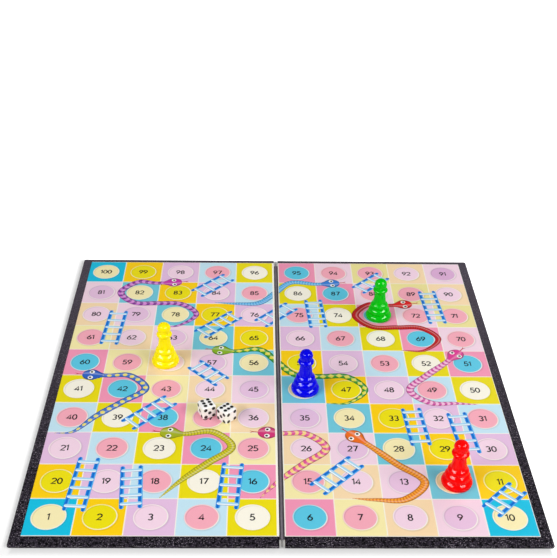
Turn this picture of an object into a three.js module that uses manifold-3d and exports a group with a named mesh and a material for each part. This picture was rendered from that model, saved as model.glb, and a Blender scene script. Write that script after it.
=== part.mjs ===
// A folding snakes and ladders board with its four pawns and two dice.
// Millimetres. X runs across the two open leaves, Y away from the player, Z up.
// The origin is the middle of the open board, on the table.
import * as THREE from "three";
import { mergeVertices } from "three/addons/utils/BufferGeometryUtils.js";
import { RoundedBoxGeometry } from "three/addons/geometries/RoundedBoxGeometry.js";
import Module from "manifold-3d";

const wasm = await Module();
wasm.setup();

// The open board
const BOARD_WIDTH = 254;
const BOARD_DEPTH = 254;
const HINGE_GAP = 2.6;

// Thickness of each layer
const CHESS_SHEET = 0.2;
const CORE = 1.2;
const PLAY_SHEET = 0.2;
const BINDING = 0.15;
const CLOTH = 0.15;

// Edge binding: the border that shows, and how far the sheets lap over it
const SIDE_BORDER = 5.4;
const FRONT_BORDER = 6.3;
const BACK_BORDER = 3.4;
const SHEET_LAP = 3;
const UNDER_BORDER = 2;
const UNDER_LAP = 1.2;

// Outer corners of the leaves
const CORNER_ROUND = 1.2;
const CORNER_STEPS = 6;

// Hinge cloth: what is glued under each leaf, its clearance to the bindings, and the slit on the fold
const CLOTH_GRIP = 12;
const CLOTH_CLEARANCE = 2.2;
const FOLD_SLIT = 0.3;

// Printed squares: counts, and the bare strip of the sheet beside the hinge
const COLUMNS_PER_LEAF = 5;
const ROWS = 10;
const LEFT_MARGIN = 1.1;
const RIGHT_MARGIN = 0.3;

// Pawn, from the foot up: the groove under each tier and the tier's height, then neck, collar and head
const FOOT_GROOVE = 15.2;
const FOOT_TIER_HEIGHT = 3.9;
const MIDDLE_GROOVE = 12.6;
const MIDDLE_TIER_HEIGHT = 3.7;
const TOP_GROOVE = 10;
const TOP_TIER_HEIGHT = 3.2;
const TIER_SWELL = 0.75;
const PAWN_SHOULDER = 8.2;
const PAWN_NECK = 6.5;
const PAWN_NECK_HEIGHT = 7.2;
const PAWN_COLLAR = 8.85;
const PAWN_COLLAR_HEIGHT = 3.1;
const PAWN_HEAD = 7.5;
const PAWN_HEAD_SIDE = 2.3;
const PAWN_DOME_HEIGHT = 3.7;
const PAWN_WALL = 1.2;
const PAWN_FOOT_EDGE = 0.4;
const PAWN_TIERS = [
  { groove: FOOT_GROOVE, height: FOOT_TIER_HEIGHT },
  { groove: MIDDLE_GROOVE, height: MIDDLE_TIER_HEIGHT },
  { groove: TOP_GROOVE, height: TOP_TIER_HEIGHT },
];

// How finely the pawn is faceted: round its axis, and up each stretch of its outline
const LATHE_SEGMENTS = 20;
const TIER_STEPS = 5;
const NECK_STEPS = 4;
const COLLAR_STEPS = 6;
const DOME_STEPS = 5;

// Dice
const DIE_EDGE = 8;
const DIE_ROUND = 1.2;
const PIP_DIAMETER = 1.8;
const PIP_DEPTH = 0.35;
const PIP_INSET = 1.75;
const SIX_ROW_INSET = 2.4;
const DIE_ROUND_STEPS = 2;
const PIP_SEGMENTS = 8;

// Where each piece stands, in columns and rows of its leaf from the front left corner of the print
const PAWNS = [
  { name: "yellow_pawn", leaf: "left", column: 2.39, row: 5.52, colour: 0xfff000 },
  { name: "green_pawn", leaf: "right", column: 2.535, row: 7.47, colour: 0x00b41e },
  { name: "blue_pawn", leaf: "right", column: 0.545, row: 4.5, colour: 0x0000d8 },
  { name: "red_pawn", leaf: "right", column: 3.58, row: 1.48, colour: 0xf80a0a },
];
const DICE_COLUMN = 3.47;
const DICE_ROW = 3.61;

// The second die lies beside the first, this far off in die edges
const DICE = [
  { name: "left_die", acrossEdges: 0, awayEdges: 0, turn: 26 },
  { name: "right_die", acrossEdges: 1.34, awayEdges: -0.47, turn: -46 },
];

// Levels above the table
const CORE_BOTTOM = CHESS_SHEET;
const CORE_TOP = CORE_BOTTOM + CORE;
const BOARD_TOP = CORE_TOP + PLAY_SHEET;

// Edges of a leaf: X is measured out from the fold, Y both ways from the middle
const HINGE_EDGE = HINGE_GAP / 2;
const SIDE_EDGE = BOARD_WIDTH / 2;
const END_EDGE = BOARD_DEPTH / 2;
const CORE_SIDE = SIDE_EDGE - BINDING;
const CORE_END = END_EDGE - BINDING;
const PRINT_SIDE = SIDE_EDGE - SIDE_BORDER;
const PRINT_FRONT = FRONT_BORDER - END_EDGE;
const PRINT_BACK = END_EDGE - BACK_BORDER;
const FLANGE_SIDE = PRINT_SIDE - SHEET_LAP;
const FLANGE_FRONT = PRINT_FRONT + SHEET_LAP;
const FLANGE_BACK = PRINT_BACK - SHEET_LAP;
const CHESS_SIDE = SIDE_EDGE - UNDER_BORDER;
const CHESS_END = END_EDGE - UNDER_BORDER;
const UNDER_SIDE = CHESS_SIDE - UNDER_LAP;
const UNDER_END = CHESS_END - UNDER_LAP;
const CLOTH_SIDE = HINGE_EDGE + CLOTH_GRIP;
const CLOTH_END = UNDER_END - CLOTH_CLEARANCE;

// Levels of the core, and of the flanges and the cloth, which lie flush in its rebates
const CORE_LEVELS = [CORE_BOTTOM, CORE_TOP];
const TOP_FLANGE = [CORE_TOP - BINDING, CORE_TOP];
const UNDER_FLANGE = [CORE_BOTTOM, CORE_BOTTOM + BINDING];
const CLOTH_LEVELS = [CORE_BOTTOM, CORE_BOTTOM + CLOTH];

// A cutting tool stands this far past the face that it cuts
const OVERCUT = 1;

const MATERIALS = {
  greyboard: finish(0x9a8f80, 0.95),
  print: finish(0xf3dcc0, 0.45),
  chess: finish(0xcfc6b4, 0.5),
  leatherette: finish(0x2c2a2e, 0.6),
  cloth: finish(0x736a73, 0.9),
  ivory: finish(0xf6f4ee, 0.25),
};
const PLASTIC_ROUGHNESS = 0.15;

function finish(colour, roughness) {
  return new THREE.MeshStandardMaterial({ color: colour, roughness, metalness: 0 });
}

function node(name, geometry, material) {
  const mesh = new THREE.Mesh(geometry, material);
  mesh.name = name;
  return mesh;
}

// A box between two values on each axis, with its corners exactly there
function slab(xs, ys, zs) {
  const geometry = new THREE.BoxGeometry(1, 1, 1);
  const corners = geometry.getAttribute("position");
  const end = (pair, sign) => (sign < 0 ? Math.min(...pair) : Math.max(...pair));
  for (let i = 0; i < corners.count; i += 1) {
    const x = end(xs, corners.getX(i));
    const y = end(ys, corners.getY(i));
    const z = end(zs, corners.getZ(i));
    corners.setXYZ(i, x, y, z);
  }
  return geometry;
}

// A closed geometry as a solid that can be cut and joined
function solidOf(geometry) {
  const bare = new THREE.BufferGeometry();
  bare.setAttribute("position", geometry.getAttribute("position"));
  bare.setIndex(geometry.index);
  const merged = mergeVertices(bare);
  const mesh = new wasm.Mesh({
    numProp: 3,
    vertProperties: merged.getAttribute("position").array,
    triVerts: new Uint32Array(merged.index.array),
  });
  return new wasm.Manifold(mesh);
}

function geometryOf(solid) {
  const mesh = solid.getMesh();
  const geometry = new THREE.BufferGeometry();
  geometry.setAttribute("position", new THREE.BufferAttribute(mesh.vertProperties, 3));
  geometry.setIndex(new THREE.BufferAttribute(mesh.triVerts, 1));
  geometry.computeVertexNormals();
  return geometry;
}

function cut(body, tools) {
  const solid = tools.reduce((rest, tool) => rest.subtract(solidOf(tool)), solidOf(body));
  return geometryOf(solid);
}

function joined(pieces) {
  const [first, ...others] = pieces.map(solidOf);
  return others.reduce((whole, piece) => whole.add(piece), first);
}

// Both signs of a half width
function both(value) {
  return [-value, value];
}

// A leaf's outline between two levels, drawn in by an inset: square at the hinge, round at its outer corners
function leafPrism(side, inset, levels) {
  const radius = CORNER_ROUND - inset;
  const centre = { x: SIDE_EDGE - CORNER_ROUND, y: END_EDGE - CORNER_ROUND };
  const corner = (end) =>
    shares(CORNER_STEPS).map((t) => {
      const angle = (t * Math.PI) / 2;
      const out = centre.x + radius * Math.cos(angle);
      return new THREE.Vector2(side * out, end * (centre.y + radius * Math.sin(angle)));
    });
  const end = END_EDGE - inset;
  const back = new THREE.Vector2(side * HINGE_EDGE, end);
  const front = new THREE.Vector2(side * HINGE_EDGE, -end);
  const shape = new THREE.Shape([front, ...corner(-1).reverse(), ...corner(1), back]);
  const height = levels[1] - levels[0];
  const prism = new THREE.ExtrudeGeometry(shape, { depth: height, bevelEnabled: false });
  return prism.translate(0, 0, levels[0]);
}

// Greyboard with a shallow rebate under every flange of the bindings and under the hinge cloth
function coreBoard(side) {
  const x = (from, to) => [side * from, side * to];
  const past = { side: CORE_SIDE + OVERCUT, end: CORE_END + OVERCUT };
  const above = [TOP_FLANGE[0], CORE_TOP + OVERCUT];
  const below = [CORE_BOTTOM - OVERCUT, UNDER_FLANGE[1]];
  const acrossLeaf = x(HINGE_EDGE - OVERCUT, past.side);
  const tools = [
    slab(x(FLANGE_SIDE, past.side), both(past.end), above),
    slab(x(UNDER_SIDE, past.side), both(past.end), below),
    slab(x(HINGE_EDGE - OVERCUT, CLOTH_SIDE), both(CLOTH_END), [below[0], CLOTH_LEVELS[1]]),
  ];
  for (const end of [-1, 1]) {
    tools.push(slab(acrossLeaf, [flangeEnd(end), end * past.end], above));
    tools.push(slab(acrossLeaf, [end * UNDER_END, end * past.end], below));
  }
  return cut(leafPrism(side, BINDING, CORE_LEVELS), tools);
}

// Where the top flange of the front or back binding ends under the play sheet
function flangeEnd(end) {
  return end < 0 ? FLANGE_FRONT : FLANGE_BACK;
}

// The upright wall of the bindings, one binding thick, over one stretch of a leaf's edge
function edgeWall(side, xs, ys) {
  const past = [CORE_BOTTOM - OVERCUT, CORE_TOP + OVERCUT];
  const rim = solidOf(leafPrism(side, 0, CORE_LEVELS)).subtract(solidOf(leafPrism(side, BINDING, past)));
  return rim.intersect(solidOf(slab(xs, ys, CORE_LEVELS)));
}

// The wall of the side binding, which runs round both outer corners
function sideWall(side) {
  return edgeWall(side, [side * (SIDE_EDGE - CORNER_ROUND), side * SIDE_EDGE], both(END_EDGE));
}

// Strip folded round the outer side edge and its corners
function sideBinding(side) {
  const x = (from) => [side * from, side * SIDE_EDGE];
  const flanges = joined([
    slab(x(FLANGE_SIDE), [FLANGE_FRONT, FLANGE_BACK], TOP_FLANGE),
    slab(x(UNDER_SIDE), both(UNDER_END), UNDER_FLANGE),
  ]);
  return geometryOf(sideWall(side).add(flanges));
}

// Strip folded round the front or back edge, from the hinge to the side binding
function endBinding(side, end) {
  const x = [side * HINGE_EDGE, side * CORE_SIDE];
  const edge = end * END_EDGE;
  const wall = edgeWall(side, [side * HINGE_EDGE, side * (SIDE_EDGE - CORNER_ROUND)], [0, edge]);
  const flanges = joined([
    slab(x, [flangeEnd(end), edge], TOP_FLANGE),
    slab(x, [end * UNDER_END, edge], UNDER_FLANGE),
  ]);
  const inside = flanges.intersect(solidOf(leafPrism(side, 0, CORE_LEVELS)));
  return geometryOf(wall.add(inside).subtract(sideWall(side)));
}

// One half of the hinge cloth, from the fold line to its glued edge under the leaf
function hingeCloth(side) {
  const x = [(side * FOLD_SLIT) / 2, side * CLOTH_SIDE];
  return slab(x, both(CLOTH_END), CLOTH_LEVELS);
}

function leaf(name, side) {
  const group = new THREE.Group();
  const playX = [side * HINGE_EDGE, side * PRINT_SIDE];
  const chessX = [side * HINGE_EDGE, side * CHESS_SIDE];
  const playSheet = slab(playX, [PRINT_FRONT, PRINT_BACK], [CORE_TOP, BOARD_TOP]);
  const chessSheet = slab(chessX, both(CHESS_END), [0, CHESS_SHEET]);
  group.add(
    node(`${name}_core_board`, coreBoard(side), MATERIALS.greyboard),
    node(`${name}_play_sheet`, playSheet, MATERIALS.print),
    node(`${name}_chess_sheet`, chessSheet, MATERIALS.chess),
    node(`${name}_side_binding`, sideBinding(side), MATERIALS.leatherette),
    node(`${name}_front_binding`, endBinding(side, -1), MATERIALS.leatherette),
    node(`${name}_back_binding`, endBinding(side, 1), MATERIALS.leatherette),
    node(`hinge_cloth_${name}`, hingeCloth(side), MATERIALS.cloth),
  );
  return group;
}

// A place on the board's top, from columns and rows of one leaf's print
function placeOnPrint(leafName, column, row) {
  const margin = leafName === "left" ? LEFT_MARGIN : RIGHT_MARGIN;
  const inner = HINGE_EDGE + margin;
  const columnPitch = (PRINT_SIDE - inner) / COLUMNS_PER_LEAF;
  const rowPitch = (PRINT_BACK - PRINT_FRONT) / ROWS;
  const start = leafName === "left" ? -PRINT_SIDE : inner;
  return new THREE.Vector3(start + column * columnPitch, PRINT_FRONT + row * rowPitch, BOARD_TOP);
}

// Evenly spaced shares from 0 to 1
function shares(steps) {
  return Array.from({ length: steps + 1 }, (_, i) => i / steps);
}

// Outside of a pawn, foot to crown. A tier is a half sine swelling over the cone from its groove to the next
// one's, the neck eases in as a square, the collar is a half sine bead and the head ends in half an ellipse.
function pawnOutside() {
  const points = [new THREE.Vector2(FOOT_GROOVE / 2 - PAWN_FOOT_EDGE, 0)];
  points.push(new THREE.Vector2(FOOT_GROOVE / 2, PAWN_FOOT_EDGE));
  let level = 0;
  PAWN_TIERS.forEach((tier, i) => {
    const lower = tier.groove / 2;
    const upper = (i + 1 < PAWN_TIERS.length ? PAWN_TIERS[i + 1].groove : PAWN_SHOULDER) / 2;
    const base = i === 0 ? PAWN_FOOT_EDGE : 0;
    for (const t of shares(TIER_STEPS).slice(1)) {
      const cone = lower + (upper - lower) * t;
      const swell = TIER_SWELL * Math.sin(Math.PI * t);
      points.push(new THREE.Vector2(cone + swell, level + base + (tier.height - base) * t));
    }
    level += tier.height;
  });
  const neck = PAWN_NECK / 2;
  for (const t of shares(NECK_STEPS).slice(1)) {
    const flare = (PAWN_SHOULDER / 2 - neck) * (1 - t) ** 2;
    points.push(new THREE.Vector2(neck + flare, level + PAWN_NECK_HEIGHT * t));
  }
  level += PAWN_NECK_HEIGHT;
  for (const t of shares(COLLAR_STEPS).slice(1)) {
    const bulge = (PAWN_COLLAR / 2 - neck) * Math.sin(Math.PI * t);
    points.push(new THREE.Vector2(neck + bulge, level + PAWN_COLLAR_HEIGHT * t));
  }
  const domeFoot = level + PAWN_COLLAR_HEIGHT + PAWN_HEAD_SIDE;
  for (const t of shares(DOME_STEPS)) {
    const angle = (t * Math.PI) / 2;
    const radius = t === 1 ? 0 : (PAWN_HEAD / 2) * Math.cos(angle);
    points.push(new THREE.Vector2(radius, domeFoot + PAWN_DOME_HEIGHT * Math.sin(angle)));
  }
  return points;
}

// Inside of a pawn, from the top of its bore down to the foot, one wall in from each groove.
// The bore ends in a cone half as tall as it is wide.
function pawnInside() {
  const tiersTop = PAWN_TIERS.reduce((sum, tier) => sum + tier.height, 0);
  const bore = PAWN_NECK / 2 - PAWN_WALL;
  const boreTop = tiersTop + PAWN_NECK_HEIGHT + PAWN_COLLAR_HEIGHT / 2;
  const points = [new THREE.Vector2(0, boreTop), new THREE.Vector2(bore, boreTop - bore)];
  points.push(new THREE.Vector2(bore, tiersTop));
  let level = tiersTop;
  for (let i = PAWN_TIERS.length - 1; i > 0; i -= 1) {
    level -= PAWN_TIERS[i].height;
    points.push(new THREE.Vector2(PAWN_TIERS[i].groove / 2 - PAWN_WALL, level));
  }
  points.push(new THREE.Vector2(FOOT_GROOVE / 2 - PAWN_WALL, 0));
  return points;
}

function pawnGeometry() {
  const profile = [...pawnInside(), ...pawnOutside()];
  return new THREE.LatheGeometry(profile, LATHE_SEGMENTS).rotateX(Math.PI / 2);
}

// Pip places on one face, in the face's own two directions
function pipPlaces(count) {
  const far = DIE_EDGE / 2 - PIP_INSET;
  const row = DIE_EDGE / 2 - SIX_ROW_INSET;
  const diagonal = [[-far, -far], [far, far]];
  const otherDiagonal = [[-far, far], [far, -far]];
  const middle = [[0, 0]];
  const rows = [-far, 0, far].flatMap((v) => [[-row, v], [row, v]]);
  const faces = {
    1: middle,
    2: diagonal,
    3: [...diagonal, ...middle],
    4: [...diagonal, ...otherDiagonal],
    5: [...diagonal, ...otherDiagonal, ...middle],
    6: rows,
  };
  return faces[count];
}

// Turn from the top face to each face of a die
const FACE_TURNS = {
  6: new THREE.Euler(0, 0, 0),
  1: new THREE.Euler(Math.PI, 0, 0),
  5: new THREE.Euler(Math.PI / 2, 0, 0),
  2: new THREE.Euler(-Math.PI / 2, 0, 0),
  4: new THREE.Euler(0, Math.PI / 2, 0),
  3: new THREE.Euler(0, -Math.PI / 2, 0),
};

// Rounded cube with a ball-shaped dimple for each pip, standing on its lowest face
function dieGeometry() {
  const rim = PIP_DIAMETER / 2;
  const ball = (rim ** 2 + PIP_DEPTH ** 2) / (2 * PIP_DEPTH);
  const lift = DIE_EDGE / 2 + ball - PIP_DEPTH;
  const dimples = [];
  for (const [count, turn] of Object.entries(FACE_TURNS)) {
    const toFace = new THREE.Matrix4().makeRotationFromEuler(turn);
    for (const [u, v] of pipPlaces(count)) {
      const dimple = new THREE.SphereGeometry(ball, PIP_SEGMENTS, PIP_SEGMENTS).rotateX(Math.PI / 2);
      dimples.push(dimple.translate(u, v, lift).applyMatrix4(toFace));
    }
  }
  const cube = new RoundedBoxGeometry(DIE_EDGE, DIE_EDGE, DIE_EDGE, DIE_ROUND_STEPS, DIE_ROUND);
  return cut(cube, dimples).translate(0, 0, DIE_EDGE / 2);
}

const board = new THREE.Group();
board.add(leaf("left", -1), leaf("right", 1));

for (const { name, leaf: leafName, column, row, colour } of PAWNS) {
  const pawn = node(name, pawnGeometry(), finish(colour, PLASTIC_ROUGHNESS));
  pawn.position.copy(placeOnPrint(leafName, column, row));
  board.add(pawn);
}

for (const { name, acrossEdges, awayEdges, turn } of DICE) {
  const die = node(name, dieGeometry(), MATERIALS.ivory);
  const beside = new THREE.Vector3(acrossEdges * DIE_EDGE, awayEdges * DIE_EDGE, 0);
  die.position.copy(placeOnPrint("left", DICE_COLUMN, DICE_ROW)).add(beside);
  die.rotation.z = THREE.MathUtils.degToRad(turn);
  board.add(die);
}

export default board;
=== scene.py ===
# A folding snakes and ladders board with its pawns and dice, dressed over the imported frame.
# Metres. X runs across the two open leaves, Y away from the player, Z up.
import math
from collections import namedtuple

import bmesh
import bpy
import numpy as np
from mathutils import Matrix, Vector


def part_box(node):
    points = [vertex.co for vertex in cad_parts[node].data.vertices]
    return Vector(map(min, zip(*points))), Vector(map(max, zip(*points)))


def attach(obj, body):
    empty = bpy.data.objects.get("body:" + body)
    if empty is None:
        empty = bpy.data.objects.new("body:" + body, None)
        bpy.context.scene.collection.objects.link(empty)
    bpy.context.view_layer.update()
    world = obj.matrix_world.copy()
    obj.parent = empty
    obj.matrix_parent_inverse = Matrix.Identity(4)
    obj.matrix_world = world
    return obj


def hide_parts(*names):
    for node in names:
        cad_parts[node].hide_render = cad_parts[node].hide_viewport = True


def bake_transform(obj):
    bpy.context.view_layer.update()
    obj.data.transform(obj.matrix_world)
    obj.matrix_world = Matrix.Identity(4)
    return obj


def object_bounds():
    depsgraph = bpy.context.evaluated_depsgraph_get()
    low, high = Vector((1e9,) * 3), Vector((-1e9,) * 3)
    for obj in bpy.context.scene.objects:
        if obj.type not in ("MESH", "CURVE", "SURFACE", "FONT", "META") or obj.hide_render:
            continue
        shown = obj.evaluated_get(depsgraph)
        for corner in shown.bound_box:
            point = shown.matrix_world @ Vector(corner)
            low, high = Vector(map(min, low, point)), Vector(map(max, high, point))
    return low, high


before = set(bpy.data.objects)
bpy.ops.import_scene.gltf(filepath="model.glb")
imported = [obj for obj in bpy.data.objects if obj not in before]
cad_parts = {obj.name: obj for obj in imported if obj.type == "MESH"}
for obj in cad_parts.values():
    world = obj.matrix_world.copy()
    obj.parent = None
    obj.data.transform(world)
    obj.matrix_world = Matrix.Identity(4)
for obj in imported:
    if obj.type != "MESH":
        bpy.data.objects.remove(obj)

CAD_BOX = [[float(value) for value in corner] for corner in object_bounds()]
MM = 0.001

# View of the photograph: where the camera stands, how it is turned, and its lens on a 36 mm sensor
CAMERA_PLACE = Vector((-12.95, -468.6, 364.05)) * MM
CAMERA_YAW = math.radians(1.455)
CAMERA_PITCH = math.radians(32.327)
CAMERA_ROLL = math.radians(-1.165)
CAMERA_LENS = 67.4
CAMERA_SENSOR = 36.0

# Printed squares: counts, the left print's pitch and how much of its first column is trimmed off, and the bare
# strips of the play sheets beside the hinge and along the front
COLUMNS = 10
LEAF_COLUMNS = 5
ROWS = 10
LEFT_PITCH = 24.2 * MM
LEFT_TRIM = 1.2 * MM
LEFT_MARGIN = 1.1 * MM
RIGHT_MARGIN = 0.3 * MM
FRONT_MARGIN = 0.05 * MM

# Chess squares on the underside: how many there are, and the plain frame round them
CHESS_SQUARES = 8
CHESS_FRAME = 6 * MM

# Sheets: the rounding of their edges, and the rings of points along them
SHEET_ROUND = 0.05 * MM
SHEET_RINGS = 41

# Edge bindings: how far they lap under the chess sheet, their thickness, the rounding of their fold and of the
# leaf's corners, and the rings of points along the side and the shorter ends
UNDER_LAP = 1.2 * MM
BINDING = 0.15 * MM
BINDING_ROUND = 0.35 * MM
CORNER_ROUND = 1.2 * MM
SIDE_RINGS = 161
END_RINGS = 97

# Hinge cloth: how high its ridge stands in the channel, the waves in that (share, length for one radian, start),
# the pitch of its threads, and the rings of points along it
CLOTH_RIDGE = 0.32 * MM
CLOTH_WAVES = ((0.12, 7 * MM, 0), (0.08, 2.9 * MM, 1))
CLOTH_THREAD = 0.42 * MM
CLOTH_RINGS = 201

# Printed discs and gutters, in millimetres because the print is worked out in them
DISC_RADIUS = 8.4
DISC_RIM = 0.55
GUTTER = 0.28

# Heights of the printed films over the play sheet, how deep each is let in, and the share of its half width that
# a round end keeps
FILM_FOOT = 0.005 * MM
NUMBER_FILM = 0.012 * MM
TONGUE_FILM = 0.016 * MM
SNAKE_FILM = 0.020 * MM
RAIL_FILM = 0.028 * MM
EYE_FILM = 0.032 * MM
RUNG_FILM = 0.036 * MM
PUPIL_FILM = 0.040 * MM
FILM_TIP = 0.02

# Numbers: widths and gap are shares of the height
DIGIT_HEIGHT = 4.2 * MM
DIGIT_STROKE = 0.70 * MM
DIGIT_WIDTH = 0.62
ONE_WIDTH = 0.34
DIGIT_GAP = 0.06

# Ladders: the rung's lap is the share of the rail's width that it covers
RAIL_WIDTH = 2.3 * MM
RAIL_SPREAD = 9.0 * MM
RUNG_WIDTH = 2.2 * MM
RUNG_LAP = 0.7
RUNG_PITCH = 6.6 * MM
LADDER_END = 3.4 * MM

# Snakes: the eyes' place is a share of the nose's length and of the head's half width, the prongs' spread is a
# share of their length, and the heading is taken over the first steps of the path
HEAD_HALF = 4.8 * MM
NOSE_LENGTH = 5.4 * MM
HEAD_LENGTH = 12.6 * MM
NECK_HALF = 1.75 * MM
BODY_HALF = 2.25 * MM
BODY_LENGTH = 28 * MM
TAIL_SHARE = 0.30
TAIL_POWER = 0.75
TAIL_END_HALF = 0.2 * MM
SNAKE_STEP = 0.3 * MM
TONGUE_ROOT = 0.4 * MM
TONGUE_LENGTH = 3.0 * MM
TONGUE_HALF = 0.3 * MM
PRONG_LENGTH = 1.6 * MM
PRONG_SPREAD = 0.55
PRONG_LAP = 0.1 * MM
PRONG_HALF = (0.28 * MM, 0.08 * MM)
EYE_PLACE = (0.95, 0.52)
EYE_RADIUS = 1.45 * MM
PUPIL_RADIUS = 0.75 * MM
PUPIL_SHIFT = 0.2 * MM
HEADING_STEPS = 12

# Pawn, from the foot up, in millimetres: the groove under each tier and the tier's height, then neck, collar and
# head; the mould line's width and turn are in radians
PAWN_TIERS = ((15.2, 3.9), (12.6, 3.7), (10.0, 3.2))
TIER_SWELL = 0.75
PAWN_SHOULDER = 8.2
PAWN_NECK = 6.5
PAWN_NECK_HEIGHT = 7.2
PAWN_COLLAR = 8.85
PAWN_COLLAR_HEIGHT = 3.1
PAWN_HEAD = 7.5
PAWN_HEAD_SIDE = 2.3
PAWN_DOME_HEIGHT = 3.7
PAWN_WALL = 1.2
PAWN_FOOT_EDGE = 0.4
MOULD_LINE = 0.02
MOULD_LINE_WIDTH = 0.04
MOULD_LINE_TURN = 0.5
PAWN_SEGMENTS = 120

# Dice, in millimetres
DIE_EDGE = 8.0
DIE_ROUND = 1.2
PIP_RADIUS = 0.9
PIP_PAINT = 1.0
PIP_DEPTH = 0.35
PIP_FAR = 2.25
PIP_ROW = 1.6
DIE_CELLS = 84

# Studio floor: how far it reaches, how far it lies below the board, and how far its opening ends inside the edges
FLOOR_REACH = 6.0
FLOOR_DROP = 0.03 * MM
FLOOR_LEDGE = 10 * MM

# Points of a mesh closer than this are one
MERGE_REACH = 0.0002 * MM

Surface = namedtuple("Surface", "points quads run")
Leaf = namedtuple("Leaf", "side sign body low high start pitch inner first")
Snake = namedtuple("Snake", "name pattern repeat back mark crown knots")


def measured_leaf(side):
    """A leaf's print, measured on its play sheet: where its first column starts, the column pitch, and how far
    from the fold the print ends."""
    low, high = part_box(f"{side}_play_sheet")
    body = f"{side}_leaf"
    if side == "left":
        return Leaf(side, -1, body, low, high, low.x - LEFT_TRIM, LEFT_PITCH, LEFT_MARGIN - high.x, 0)
    start = low.x + RIGHT_MARGIN
    return Leaf(side, 1, body, low, high, start, (high.x - start) / LEAF_COLUMNS, start, LEAF_COLUMNS)


LEFT = measured_leaf("left")
RIGHT = measured_leaf("right")
LEAVES = (LEFT, RIGHT)
PRINT_FRONT = LEFT.low.y + FRONT_MARGIN
ROW_PITCH = (LEFT.high.y - LEFT.low.y) / ROWS
PLAY_TOP = LEFT.high.z
HINGE_HALF = RIGHT.low.x


def ink(red, green, blue):
    """A colour from its 0 to 255 display values, as the linear values that shaders take."""
    share = np.array((red, green, blue)) / 255
    linear = np.where(share <= 0.04045, share / 12.92, ((share + 0.055) / 1.055) ** 2.4)
    return (*linear.tolist(), 1.0)


# Finishes

class Value:
    """An output of a node, with arithmetic: each operation places one more node."""

    def __init__(self, bench, socket):
        self.bench = bench
        self.socket = socket

    def calc(self, operation, *others):
        return self.bench.node("Math", dict(enumerate((self, *others))), operation=operation)

    def __add__(self, other):
        return self.calc("ADD", other)

    def __sub__(self, other):
        return self.calc("SUBTRACT", other)

    def __mul__(self, other):
        return self.calc("MULTIPLY", other)

    def __truediv__(self, other):
        return self.calc("DIVIDE", other)

    def __abs__(self):
        return self.calc("ABSOLUTE")

    def step(self, low, high):
        """0 up to low and 1 from high on, eased between them; the other way round where low is above high."""
        ends = {0: self, 1: low, 2: high}
        return self.bench.node("MapRange", ends, interpolation_type="SMOOTHSTEP")

    def band(self, middle, half, soft):
        """1 within half of the middle and 0 outside, with a soft edge."""
        return abs(self - middle).step(half + soft, half - soft)


class Bench:
    """A node tree being wired. Inputs are given by name or number, each a plain value or another node's output,
    and kinds of node without their common first word."""

    def __init__(self, tree):
        self.tree = tree

    def feed(self, node, inputs):
        for key, value in inputs.items():
            if isinstance(value, Value):
                self.tree.links.new(value.socket, node.inputs[key])
            else:
                node.inputs[key].default_value = value

    def place(self, kind, inputs, **settings):
        node = self.tree.nodes.new(f"ShaderNode{kind}")
        for key, value in settings.items():
            setattr(node, key, value)
        self.feed(node, inputs)
        return node

    def node(self, kind, inputs, output=0, **settings):
        return Value(self, self.place(kind, inputs, **settings).outputs[output])

    def mix(self, share, first, second, kind="MIX"):
        return self.node("Mix", {0: share, 6: first, 7: second}, 2, data_type="RGBA", blend_type=kind)

    def toned(self, colour, tone):
        return self.mix(1.0, colour, tone, "MULTIPLY")

    def noise(self, place, scale, detail=2.0):
        return self.node("TexNoise", {"Vector": place, "Scale": scale, "Detail": detail}, "Fac")

    def axes(self, vector):
        return [Value(self, socket) for socket in self.place("SeparateXYZ", {0: vector}).outputs]

    def stepped(self, share, colours):
        """One colour after another in even steps along the share."""
        node = self.place("ValToRGB", {0: share})
        node.color_ramp.interpolation = "CONSTANT"
        stops = node.color_ramp.elements
        for index, colour in enumerate(colours):
            stop = stops[index] if index < 1 else stops.new(index / len(colours))
            stop.color = colour
        stops.remove(stops[-1])
        return Value(self, node.outputs["Color"])

    def use(self, group, **inputs):
        node = self.place("Group", inputs, node_tree=group)
        return {socket.name: Value(self, socket) for socket in node.outputs}

    def object_place(self):
        return self.node("TexCoord", {}, "Object")

    def surface_run(self):
        return self.node("UVMap", {}, "UV", uv_map="run")


class Finish(Bench):
    """The bench of a new material, which is coated last."""

    def __init__(self, name):
        self.material = bpy.data.materials.new(name)
        self.material.use_nodes = True
        super().__init__(self.material.node_tree)

    def coat(self, colour, roughness, height, relief, gloss=0.5):
        """Feeds the shader and hands back the material. The relief is how far a height of 1 stands out."""
        normal = self.node("Bump", {"Height": height, "Distance": relief}, "Normal")
        inputs = {"Base Color": colour, "Roughness": roughness, "Specular IOR Level": gloss, "Normal": normal}
        self.feed(self.tree.nodes["Principled BSDF"], inputs)
        return self.material

    def laminated(self, colour):
        """Puts a printed colour under the laminate: paper tooth in the tone, orange peel in the surface."""
        skin = self.use(LAMINATE, Place=self.object_place())
        colour = self.toned(colour, skin["Tone"])
        return self.coat(colour, skin["Roughness"], skin["Height"], relief=0.012 * MM, gloss=0.35)


def effect(name, inputs, outputs):
    """A node group with named sockets: its bench, its inputs to read and its last node to feed."""
    tree = bpy.data.node_groups.new(name, "ShaderNodeTree")
    for way, sockets in (("INPUT", inputs), ("OUTPUT", outputs)):
        for label, kind in sockets.items():
            tree.interface.new_socket(label, in_out=way, socket_type=f"NodeSocket{kind}")
    bench = Bench(tree)
    source = tree.nodes.new("NodeGroupInput")
    given = {label: Value(bench, source.outputs[label]) for label in inputs}
    return bench, given, tree.nodes.new("NodeGroupOutput")


SKIN_OUTPUTS = {"Height": "Float", "Roughness": "Float", "Tone": "Float"}


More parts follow.
